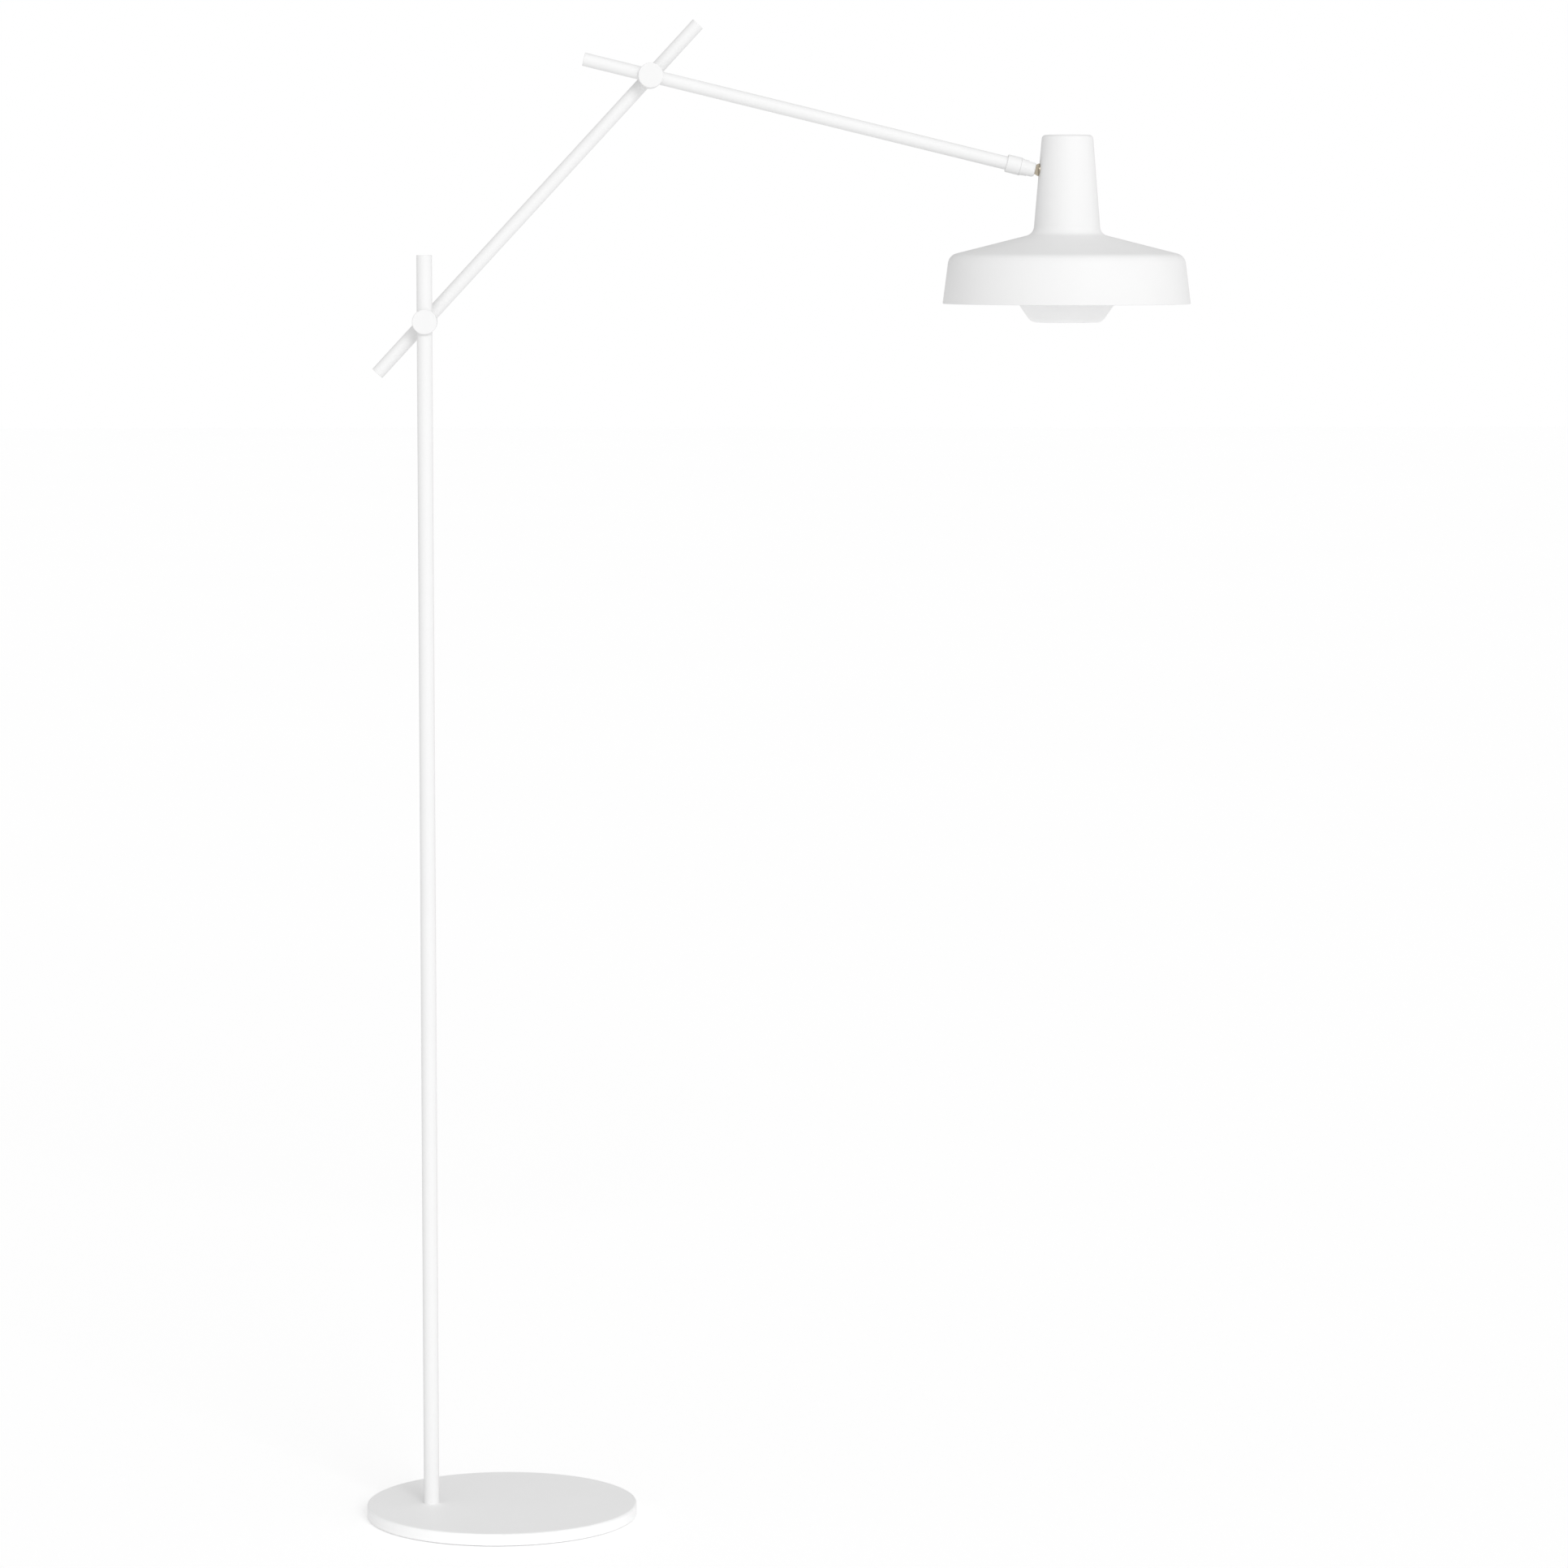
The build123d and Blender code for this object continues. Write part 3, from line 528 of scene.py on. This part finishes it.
def build_finishes():
    """Builds the shared effects and one material for each of the record's slots."""
    look = bpy.context.scene.lamp_finishes
    for build in (build_grain, build_dust_and_top_shade, build_lines, build_edge):
        build()
    even, along_x = (1.0, 1.0, 1.0), (0.05, 1.0, 1.0)
    return {
        "pole_paint": powder_coat("Tube powder coat", 1.0, 0.03, 0.03, 0.00002),
        # The base's coat is made lighter (1.13) than the tubes' and the shade's: a painted light on
        # the base.
        "base_paint": powder_coat("Base powder coat painted lighter", 1.13, 0.05, 0.03, 0.00003),
        # On the shade the upper faces are darkened more (0.16), mostly as a painted shade on the
        # shoulder.
        "shade_paint": powder_coat("Shade powder coat", 1.0, 0.04, 0.16, 0.00002),
        # The brass colour and its dark tone (0.62) are partly a painted shade of the gap between
        # fork and shade.
        "brass": metal("Turned brass", look.brass, along_x, 0.0003, 0.34, 0.62),
        "opal_plastic": moulding("Opal acrylic", look.opal, 0.45, 0.004, 0.00002, 0.05, 0.15),
        "felt": felted("Pressed felt", look.felt),
        "zinc_steel": metal("Zinc plated steel", look.zinc, even, 0.0008, 0.36, 0.78),
        "washer_plastic": moulding("Natural nylon", (0.80, 0.79, 0.75), 0.45, 0.0008, 0.00002, 0.3),
        "black_plastic": moulding("Black bush", (0.035, 0.035, 0.037), 0.5, 0.0006, 0.00004, 0.0),
        "holder_plastic": moulding("Holder thermoplastic", (0.86, 0.85, 0.81), 0.4, 0.0007,
                                   0.00003, 0.0),
        "bulb_glass": moulding("Opal bulb glass", (0.93, 0.93, 0.91), 0.16, 0.01, 0.00001, 0.4),
        "bulb_metal": metal("Nickel shell", (0.72, 0.70, 0.67), even, 0.0006, 0.28, 0.8),
        "wire_sheath": moulding("Wire sheath", (0.84, 0.84, 0.82), 0.5, 0.0009, 0.00003, 0.0),
    }


finishes = {}


def finish(slot):
    """The material of a slot, built with all the others the first time that it is asked for."""
    if not finishes:
        finishes.update(build_finishes())
    return finishes[slot]


# ---------------------------------------------------------------- operators
class LAMP_OT_finishes(bpy.types.Operator):
    """Give each part of the frame its finish"""

    bl_idname = "lamp.finishes"
    bl_label = "Finishes"

    def execute(self, context):
        for node in frame["nodes"].values():
            for held in node.material_slots:
                held.material = finish(held.material.name)
        return {"FINISHED"}


def shade_line(sizes, inset):
    """The shade's wall line moved inwards: rim, corner, shoulder, neck and top."""
    corner, hollow, crown = 0.011, 0.0095, 0.004
    lines = [((sizes.radius, 0.0), pi / 2 + sizes.band_lean),
             (SHOULDER_POINT, pi - sizes.shoulder_slope),
             (NECK_POINT, pi / 2 + sizes.neck_lean),
             ((0.0, sizes.height), pi)]
    moved = [((r - inset * sin(a), z + inset * cos(a)), a) for (r, z), a in lines]
    corners = [meet(*one, *two) for one, two in zip(moved, moved[1:])]
    rim = meet(*moved[0], (0.0, 0.0), 0.0)
    radii = [corner - inset, hollow + inset, crown - inset]
    return rounded([rim, *corners, (0.0, sizes.height - inset)], radii)


class LAMP_OT_shade(bpy.types.Operator):
    """Spin the shade: band, sloping shoulder, tall neck, rolled rim and the tongue's hole"""

    bl_idname = "lamp.shade"
    bl_label = "Shade"

    def execute(self, context):
        sizes = context.scene.lamp_shade
        crisp, hole, reach, hole_facets, roll_parts = 40.0, 0.0041, 0.02, 48, 10
        outer, inner = shade_line(sizes, 0.0), shade_line(sizes, sizes.wall)
        half = sizes.wall / 2
        centre = Vector(((outer[0][0] + inner[0][0]) / 2, half))
        roll = [(centre.x - half * cos(a), centre.y - half * sin(a))
                for a in (pi * i / roll_parts for i in range(roll_parts + 1))]
        outline = [(r, z) for r, z in reversed(inner) if z > sizes.wall]
        outline += roll + [(r, z) for r, z in outer if z > sizes.wall]
        bm = bmesh.new()
        foot = Matrix.Translation((SHADE_AXIS, 0.0, RIM_Z))
        turned(bm, outline, foot, sizes.turns)
        shell = made(bm, "shade_shell", crisp)

        tool_mesh = bmesh.new()
        stud = Vector((cos(sizes.neck_lean), 0.0, -sin(sizes.neck_lean)))
        turned(tool_mesh, [(0.0, 0.0), (hole, 0.0), (hole, reach), (0.0, reach)],
               facing(TILT_PIVOT, stud), hole_facets)
        tool = made(tool_mesh, "stud_hole")
        drill = shell.modifiers.new("stud hole", "BOOLEAN")
        drill.object = tool
        drill.solver = "EXACT"
        bored = bpy.data.meshes.new_from_object(
            shell.evaluated_get(context.evaluated_depsgraph_get()))
        shell.modifiers.clear()
        shell.data = bored
        bpy.data.objects.remove(tool)
        smooth(bored, crisp)
        bored.materials.clear()
        settle(shell, "head", "shade_paint", "shade")
        return {"FINISHED"}


def cup_line(sizes, inset):
    """The diffuser's line moved inwards: flat bottom, sloping side and straight wall."""
    slope = pi / 2 - sizes.diffuser_slope
    low_corner, side_corner, parts = 0.010, 0.012, 14
    side = (DIFFUSER_SIDE[0] - inset * sin(slope), DIFFUSER_SIDE[1] + inset * cos(slope))
    bottom = (0.0, diffuser_low.z - RIM_Z + inset)
    wall = sizes.diffuser_radius - inset
    lower = meet(side, slope, bottom, 0.0)
    upper = meet(side, slope, (wall, 0.0), pi / 2)
    top = diffuser_high.z - RIM_Z
    return rounded([bottom, lower, upper, (wall, top)],
                   [low_corner - inset, side_corner - inset], parts)


class LAMP_OT_diffuser(bpy.types.Operator):
    """Mould the opal diffuser, with its rounded lip and retaining bead"""

    bl_idname = "lamp.diffuser"
    bl_label = "Diffuser"

    def execute(self, context):
        sizes = context.scene.lamp_shade
        top = diffuser_high.z - RIM_Z
        bead = 0.0012
        outer = cup_line(sizes, 0.0)[:-1]
        inner = cup_line(sizes, sizes.diffuser_wall)[:-1]
        wall = sizes.diffuser_radius
        lip = [(wall, top - 0.0022), (wall + 0.0007, top - 0.0018), (wall + bead, top - 0.0012),
               (wall + bead, top - 0.0005), (wall + 0.0007, top),
               (wall - sizes.diffuser_wall + 0.0005, top),
               (wall - sizes.diffuser_wall, top - 0.0005)]
        bm = bmesh.new()
        turned(bm, outer + lip + inner[::-1],
               Matrix.Translation((SHADE_AXIS, 0.0, RIM_Z)), sizes.turns)
        settle(made(bm, "diffuser_cup", 50.0), "head", "opal_plastic", "diffuser")
        return {"FINISHED"}


class LAMP_OT_bulb(bpy.types.Operator):
    """Blow the golf ball bulb and roll the thread of its small screw cap"""

    bl_idname = "lamp.bulb"
    bl_label = "Bulb"

    def execute(self, context):
        foot = Matrix.Translation((SHADE_AXIS, 0.0, RIM_Z))
        facets = context.scene.lamp_shade.turns // 2
        radius, centre, glass_end, ball_end = 0.0225, 0.0725, 0.1030, 0.0925
        steps = 40
        ball = [(radius * sin(a), centre - radius * cos(a))
                for a in (pi * i / steps for i in range(steps))]
        neck = [(0.0105, 0.0945), (0.0088, 0.0975), (0.0074, 0.1005), (0.0070, glass_end)]
        glass = [point for point in ball if point[1] < ball_end] + neck + [(0.0, glass_end)]
        bm = bmesh.new()
        turned(bm, glass, foot, facets)
        settle(made(bm, "bulb_envelope"), "head", "bulb_glass", "bulb_globe")

        shell, shell_end, depth, pitch, row = 0.0066, 0.1220, 0.0007, 0.00282, 0.00035
        thread_start, thread_end = 0.1040, 0.1215
        wall = [(shell, z) for z in stepped(glass_end, shell_end, row)]
        tip = [(0.0060, 0.1228), (0.0046, 0.1252), (0.0036, 0.1260), (0.0024, 0.1262),
               (0.0023, 0.1270), (0.0016, 0.1275), (0.0, 0.1276)]
        bm = bmesh.new()
        turned(bm, [(0.0, glass_end)] + wall + tip, foot, facets,
               thread(shell, depth, pitch, thread_start, thread_end))
        settle(made(bm, "bulb_screw_shell"), "head", "bulb_metal", "bulb_cap")
        return {"FINISHED"}


class LAMP_OT_fasteners(bpy.types.Operator):
    """Forge the nuts, the foot bolt and the two wave washers"""

    bl_idname = "lamp.fasteners"
    bl_label = "Fasteners"

    def execute(self, context):
        facets = 96
        lean = context.scene.lamp_shade.neck_lean
        stud = Vector(joints["shade_tilt"]["axis"]).cross(Vector((sin(lean), 0.0, cos(lean))))
        nuts = [("lower_hinge_nut", "stand", (0, 1, 0), 7.0, 4.0),
                ("upper_hinge_nut", "lower_arm", (0, 1, 0), 7.0, 4.0),
                ("knuckle_nut", "head", stud, 7.0, 4.0),
                ("holder_nut", "head", (0, 0, 1), 8.0, 5.0)]
        for node, body, axis, corner, bore in nuts:
            corner, bore, half = corner * MM, bore * MM, 1.5 * MM
            crown = corner * cos(pi / 6) * 0.97
            bevel = 0.4 * MM
            outline = [(bore, half - bevel), (bore, bevel - half), (bore + bevel, -half),
                       (crown, -half), (corner, -half), (corner, half), (crown, half),
                       (bore + bevel, half)]
            bm = bmesh.new()
            turned(bm, outline, facing(middle(node), axis), facets,
                   hexagon(corner, crown, -half, half))
            settle(made(bm, node + "_chamfered", 25.0), body, "zinc_steel", node)

        low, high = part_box("foot_bolt")
        head, corner, shank, point = 3.4 * MM, 8.5 * MM, 5.0 * MM, 0.8 * MM
        pitch, depth, row = 1.5 * MM, 0.75 * MM, 0.19 * MM
        crown = corner * cos(pi / 6) * 0.96
        length = high.z - low.z
        bm = bmesh.new()
        place = Matrix.Translation((middle("foot_bolt").x, 0.0, low.z))
        turned(bm, [(0.0, 0.0), (crown, 0.0), (corner, 0.0), (corner, head), (crown, head),
                    (0.0, head)], place, facets, hexagon(corner, crown, 0.0, head))
        rows = [(shank, z) for z in stepped(head, length - point, row)]
        turned(bm, [(0.0, head)] + rows + [(shank - point, length), (0.0, length)],
               place, facets, thread(shank, depth, pitch, head, length))
        settle(made(bm, "foot_bolt_threaded", 25.0), "stand", "zinc_steel", "foot_bolt")

        for node, body in (("lower_spring_washer", "stand"), ("upper_spring_washer", "lower_arm")):
            low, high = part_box(node)
            strip, bore, rim = 0.4 * MM, 4.15 * MM, 7.0 * MM
            depth = (high.y - low.y - strip) / 2
            half = strip / 2
            outline = [(bore, -half), (rim, -half), (rim, half), (bore, half)]
            bm = bmesh.new()
            turned(bm, outline, facing(middle(node), (0, 1, 0)), facets, waved(depth))
            settle(made(bm, node + "_waved"), body, "zinc_steel", node)
        return {"FINISHED"}


class LAMP_OT_felt(bpy.types.Operator):
    """Cut the felt disc under the base, with its soft edge and matted face"""

    bl_idname = "lamp.felt"
    bl_label = "Felt disc"

    def execute(self, context):
        low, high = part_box("base_felt")
        radius, thick = (high.x - low.x) / 2, high.z - low.z
        hole = Vector((middle("pole_tube").x, 0.0))
        clear, facets, rows = 16.0 * MM, 256, 24
        tufts_per_metre, tuft_height = 700.0, 0.06
        bm = bmesh.new()
        rings = []
        # Share of the way from the hole to the rim, and height, down over the edge and back in.
        levels = [(0.0, thick), (1.0, thick), (1.0, thick * 0.4), (0.997, thick * 0.08)]
        levels += [(1.0 - row / rows, 0.0) for row in range(1, rows + 1)]
        for share, z in levels:
            ring = []
            for k in range(facets):
                a = 2 * pi * k / facets
                edge = Vector((radius * cos(a), radius * sin(a)))
                inner = hole + Vector((cos(a), sin(a))) * clear
                at = inner.lerp(edge, share)
                tuft = noise.noise(Vector((at.x, at.y, 0.0)) * tufts_per_metre)
                lift = (tuft + 1.0) * tuft_height * MM if z < thick else 0.0
                ring.append(bm.verts.new((at.x, at.y, z + lift)))
            rings.append(ring)
        for one, two in zip(rings, rings[1:] + rings[:1]):
            for k in range(facets):
                after = (k + 1) % facets
                bm.faces.new((one[k], one[after], two[after], two[k]))
        settle(made(bm, "felt_disc", 60.0), "stand", "felt", "base_felt")
        return {"FINISHED"}


class LAMP_OT_stage(bpy.types.Operator):
    """Lay the pale floor, light the studio and set up the camera"""

    bl_idname = "lamp.stage"
    bl_label = "Studio"

    def execute(self, context):
        scene, studio = context.scene, context.scene.lamp_studio
        bm = bmesh.new()
        reach, steps = 30.0, 24
        bmesh.ops.create_grid(bm, x_segments=steps, y_segments=steps, size=reach)
        floor = made(bm, "studio_floor")
        cover, net, shader, where = material("Pale floor")
        cloud = net.add("ShaderNodeTexNoise", Vector=where["Object"], Scale=0.8, Detail=2.0)
        pale = net.blend(cloud.outputs["Fac"], tinted(WHITE[:3], 0.925), tinted(WHITE[:3], 0.935))
        net.tree.links.new(pale, shader.inputs["Base Color"])
        shader.inputs["Roughness"].default_value = 0.9
        shader.inputs["Specular IOR Level"].default_value = 0.0
        shader.inputs["Emission Color"].default_value = WHITE
        seen = net.add("ShaderNodeLightPath").outputs["Is Camera Ray"]
        net.tree.links.new(net.sum("MULTIPLY_ADD", seen, studio.floor_lift, studio.floor_glow),
                           shader.inputs["Emission Strength"])
        # Looked at from below, the floor lets the camera through to the underside of the lamp.
        under = net.sum("MULTIPLY", seen, net.add("ShaderNodeNewGeometry").outputs["Backfacing"])
        clear = net.add("ShaderNodeBsdfTransparent").outputs[0]
        surface = net.add("ShaderNodeMixShader", _0=under, _1=shader.outputs[0], _2=clear)
        net.tree.links.new(surface.outputs[0],
                           net.tree.get_output_node("CYCLES").inputs["Surface"])
        floor.data.materials.append(cover)

        heading, pitch, roll = (radians(turn) for turn in
                                (CAMERA_HEADING, CAMERA_PITCH, CAMERA_ROLL))
        sun = bpy.data.lights.new("key_light", "SUN")
        sun.energy = studio.key_strength
        sun.angle = studio.key_softness
        key = bpy.data.objects.new("key_light", sun)
        side = studio.key_side - heading
        source = Vector((sin(side) * cos(studio.key_height), -cos(side) * cos(studio.key_height),
                         sin(studio.key_height)))
        key.rotation_euler = source.to_track_quat("Z", "Y").to_euler()
        scene.collection.objects.link(key)

        world = bpy.data.worlds.new("Studio")
        world.use_nodes = True
        world.node_tree.nodes.clear()
        net = Net(world.node_tree)
        toward = net.add("ShaderNodeTexCoord").outputs["Generated"]
        front = net.add("ShaderNodeVectorMath", {"operation": "DOT_PRODUCT"},
                        _0=toward, _1=(sin(side), -cos(side), 0.0)).outputs["Value"]
        height = net.add("ShaderNodeSeparateXYZ", Vector=toward).outputs["Z"]
        behind, ahead, overhead = 0.55, 1.15, 0.82
        by_side = net.add("ShaderNodeMapRange", Value=front, From_Min=-1.0, To_Min=behind,
                          To_Max=ahead).outputs[0]
        by_height = net.spread(height, 1.0, overhead)
        strength = net.sum("MULTIPLY", net.sum("MULTIPLY", by_side, by_height), studio.fill)
        light = net.add("ShaderNodeBackground", Strength=strength, Color=WHITE)
        seen = net.add("ShaderNodeBackground", Strength=studio.backdrop, Color=WHITE)
        ray = net.add("ShaderNodeLightPath").outputs["Is Camera Ray"]
        both = net.add("ShaderNodeMixShader", _0=ray, _1=light.outputs[0], _2=seen.outputs[0])
        net.add("ShaderNodeOutputWorld", Surface=both.outputs[0])
        scene.world = world

        eye = bpy.data.cameras.new("camera")
        eye.lens, eye.sensor_width = studio.lens, 36.0
        eye.clip_end = 200.0
        camera = bpy.data.objects.new("camera", eye)
        turn = (Matrix.Rotation(-heading, 4, "Z") @ Matrix.Rotation(pi / 2 - pitch, 4, "X")
                @ Matrix.Rotation(roll, 4, "Z"))
        camera.matrix_world = Matrix.Translation(CAMERA_PLACE) @ turn
        scene.collection.objects.link(camera)
        scene.camera = camera
        scene.view_settings.view_transform = "Standard"
        scene.view_settings.look = "None"
        return {"FINISHED"}


class LAMP_PT_panel(bpy.types.Panel):
    """The lamp's sizes, colours and steps"""

    bl_idname = "LAMP_PT_panel"
    bl_label = "Floor lamp"
    bl_space_type = "VIEW_3D"
    bl_region_type = "UI"
    bl_category = "Floor lamp"

    def draw(self, context):
        for settings, steps in PANEL_ROWS:
            box = self.layout.box()
            held = getattr(context.scene, settings)
            for name in held.bl_rna.properties.keys():
                if name not in ("rna_type", "name"):
                    box.prop(held, name)
            for step in steps:
                box.operator(step)


STEPS = (LAMP_OT_finishes, LAMP_OT_shade, LAMP_OT_diffuser, LAMP_OT_bulb, LAMP_OT_fasteners,
         LAMP_OT_felt, LAMP_OT_stage)
SETTINGS = {"lamp_shade": LampShadeSizes, "lamp_finishes": LampFinishes, "lamp_studio": LampStudio}
PANEL_ROWS = (("lamp_shade", ("lamp.shade", "lamp.diffuser", "lamp.bulb")),
              ("lamp_finishes", ("lamp.finishes", "lamp.fasteners", "lamp.felt")),
              ("lamp_studio", ("lamp.stage",)))


def register():
    for kind in (*SETTINGS.values(), *STEPS, LAMP_PT_panel):
        bpy.utils.register_class(kind)
    for name, kind in SETTINGS.items():
        setattr(bpy.types.Scene, name, PointerProperty(type=kind))


def unregister():
    for name in SETTINGS:
        delattr(bpy.types.Scene, name)
    for kind in (LAMP_PT_panel, *reversed(STEPS), *reversed(SETTINGS.values())):
        bpy.utils.unregister_class(kind)


def main():
    """Builds the whole lamp and its studio."""
    register()
    for step in STEPS:
        group, name = step.bl_idname.split(".")
        getattr(getattr(bpy.ops, group), name)()


if __name__ == "__main__":
    main()
